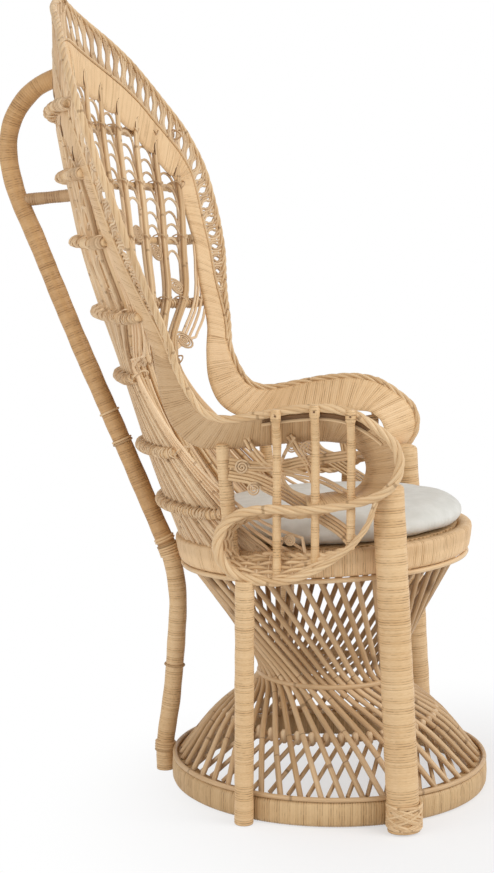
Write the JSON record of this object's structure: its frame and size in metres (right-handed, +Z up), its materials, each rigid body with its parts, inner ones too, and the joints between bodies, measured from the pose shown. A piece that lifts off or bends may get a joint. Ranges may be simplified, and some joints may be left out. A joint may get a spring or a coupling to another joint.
{
  "type": "peacock chair",
  "caption": "High fan-backed rattan armchair on a twisted hourglass pedestal, with scrolled arms, wrapped legs, a rear pole and a loose round seat cushion.",
  "frame": {"origin": "middle of the chair's box, on the floor", "axes": "+Z up, -Y to the front of the seat, +X to the sitter's left"},
  "size_m": [1.0758, 0.9314, 1.4663],
  "materials": {
    "rattan": "natural satin cane",
    "wrapped_rattan": "natural satin split cane, wrapped",
    "canvas": "matt off-white woven cotton"
  },
  "bodies": {
    "chair": {"arm_band_left": "wrapped_rattan", "arm_band_right": "wrapped_rattan", "arm_bar_left_1": "wrapped_rattan", "arm_bar_left_2": "wrapped_rattan", "arm_bar_left_3": "wrapped_rattan", "arm_bar_right_1": "wrapped_rattan", "arm_bar_right_2": "wrapped_rattan", "arm_bar_right_3": "wrapped_rattan", "arm_frame_left": "rattan", "arm_frame_right": "rattan", "arm_panel_left": "rattan", "arm_panel_right": "rattan", "arm_post_left": "wrapped_rattan", "arm_post_right": "wrapped_rattan", "back_band": "wrapped_rattan", "back_hoop_1": "wrapped_rattan", "back_hoop_2": "wrapped_rattan", "back_hoop_3": "wrapped_rattan", "back_hoop_4": "wrapped_rattan", "back_hoop_5": "wrapped_rattan", "back_hoop_6": "wrapped_rattan", "back_hoop_7": "wrapped_rattan", "back_rib_left_1": "rattan", "back_rib_left_2": "rattan", "back_rib_left_3": "rattan", "back_rib_left_4": "rattan", "back_rib_left_5": "rattan", "back_rib_left_6": "rattan", "back_rib_right_1": "rattan", "back_rib_right_2": "rattan", "back_rib_right_3": "rattan", "back_rib_right_4": "rattan", "back_rib_right_5": "rattan", "back_rib_right_6": "rattan", "base_ring": "wrapped_rattan", "base_ring_cane": "rattan", "front_leg_left": "wrapped_rattan", "front_leg_right": "wrapped_rattan", "lace_border_left": "rattan", "lace_border_right": "rattan", "pedestal_rods_1": "rattan", "pedestal_rods_2": "rattan", "pedestal_rods_3": "rattan", "pedestal_rods_4": "rattan", "pedestal_rods_5": "rattan", "pedestal_rods_6": "rattan", "pedestal_rods_7": "rattan", "pedestal_rods_8": "rattan", "pole_brace": "wrapped_rattan", "rear_pole": "wrapped_rattan", "seat_panel": "rattan", "seat_ring": "wrapped_rattan", "seat_ring_cane": "rattan", "side_leg_left": "wrapped_rattan", "side_leg_right": "wrapped_rattan", "skirt_lattice": "rattan", "spine_rib": "rattan", "waist_hoop": "rattan"},
    "seat_cushion": {"cushion": "canvas"}
  },
  "joints": [
    {"name": "cushion_lift", "type": "slide", "parent": "chair", "child": "seat_cushion", "axis": [0, 0, 1], "range_m": [0, 0.3]}
  ]
}
